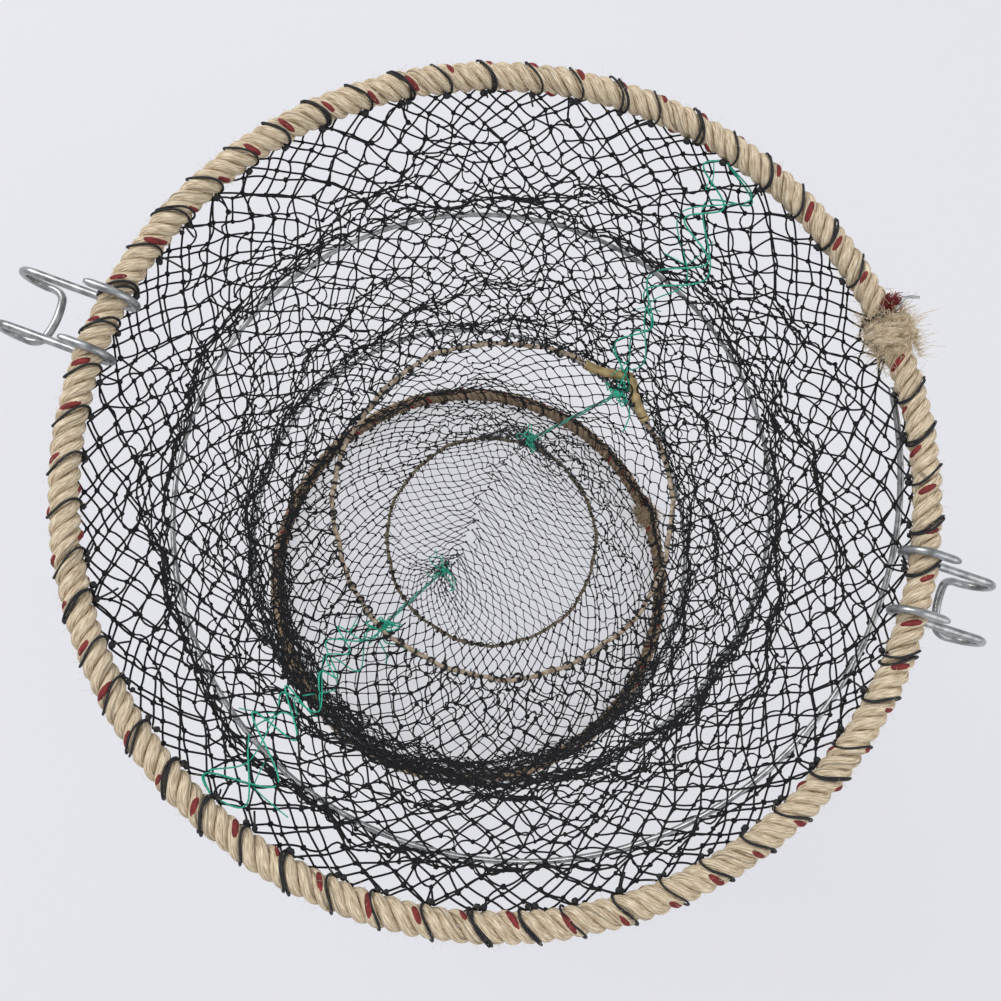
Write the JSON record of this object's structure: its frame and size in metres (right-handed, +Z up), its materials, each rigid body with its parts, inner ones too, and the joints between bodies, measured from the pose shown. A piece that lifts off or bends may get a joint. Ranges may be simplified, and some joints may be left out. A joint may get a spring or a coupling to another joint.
{
  "type": "folding crab trap",
  "caption": "Folding crab trap: rope-wrapped rings held apart by a coil spring in a net sleeve, with net funnels and wire latches that hold it flat.",
  "frame": {"origin": "on the floor under the middle of the object's box, close to the rings' axis", "axes": "+Z up, from the bottom ring to the top ring; +X towards the right latch; +Y away from the front"},
  "size_m": [0.4142, 0.3632, 0.516],
  "materials": {
    "ring_steel": "dull galvanised",
    "rope": "laid rope, fibrous, with dark red tracer yarns",
    "net_twine": "tarred black knotted netting",
    "lashing_twine": "black braided twine",
    "galvanised_wire": "grey galvanised wire",
    "throat_cord": "tan cord",
    "sleeve_plastic": "tan-gold tube",
    "green_twine": "green polyethylene twine",
    "wire_tail": "bright thin binding wire"
  },
  "bodies": {
    "base": {"bottom_ring_rod": "ring_steel", "bottom_rope_wrap": "rope", "bottom_rope_knot": "rope", "bottom_lashing_back": "lashing_twine", "bottom_lashing_front": "lashing_twine", "spring_tie_bottom": "lashing_twine", "side_net": "net_twine", "coil_spring": "galvanised_wire", "bottom_funnel_net": "net_twine", "slit_net": "net_twine", "tie_cord_a": "green_twine", "tie_cord_b": "green_twine"},
    "bottom_throat": {"bottom_throat_cord": "throat_cord"},
    "top": {"top_ring_rod": "ring_steel", "top_rope_wrap": "rope", "top_rope_knot": "rope", "top_wire_tail": "wire_tail", "top_lashing_back": "lashing_twine", "top_lashing_front": "lashing_twine", "spring_tie_top": "lashing_twine", "top_funnel_net": "net_twine", "funnel_seam_a": "green_twine", "funnel_seam_b": "green_twine"},
    "top_throat": {"top_throat_cord": "throat_cord", "throat_sleeve": "sleeve_plastic", "tie_knot_a": "green_twine", "tie_knot_b": "green_twine"},
    "latch_left": {"latch_left": "galvanised_wire"},
    "latch_right": {"latch_right": "galvanised_wire"}
  },
  "joints": [
    {"name": "collapse", "type": "slide", "parent": "base", "child": "top", "axis": [0, 0, 1], "range_m": [-0.4593, 0], "stiffness_N_per_m": 15.2, "springref_m": 0.3, "deforming": ["side_net", "coil_spring", "bottom_funnel_net", "slit_net", "tie_cord_a", "tie_cord_b", "top_funnel_net", "funnel_seam_a", "funnel_seam_b"]},
    {"name": "top_throat_slide", "type": "slide", "parent": "top", "child": "top_throat", "axis": [0, 0, 1], "range_m": [0, 0.0892]},
    {"name": "bottom_throat_slide", "type": "slide", "parent": "base", "child": "bottom_throat", "axis": [0, 0, 1], "range_m": [-0.08737, 0]},
    {"name": "latch_left_pivot", "type": "hinge", "parent": "top", "child": "latch_left", "pos_m": [-0.15876, 0.05087, 0.50575], "axis": [0.3404, 0.9403, 0], "range_deg": [-65.31, 60]},
    {"name": "latch_right_pivot", "type": "hinge", "parent": "top", "child": "latch_right", "pos_m": [0.16313, -0.05, 0.50575], "axis": [-0.2571, -0.9664, 0], "range_deg": [-52.31, 73]}
  ],
  "couplings": [
    {"joint": "top_throat_slide", "follows": "collapse", "ratio": -0.194},
    {"joint": "bottom_throat_slide", "follows": "collapse", "ratio": 0.19}
  ]
}
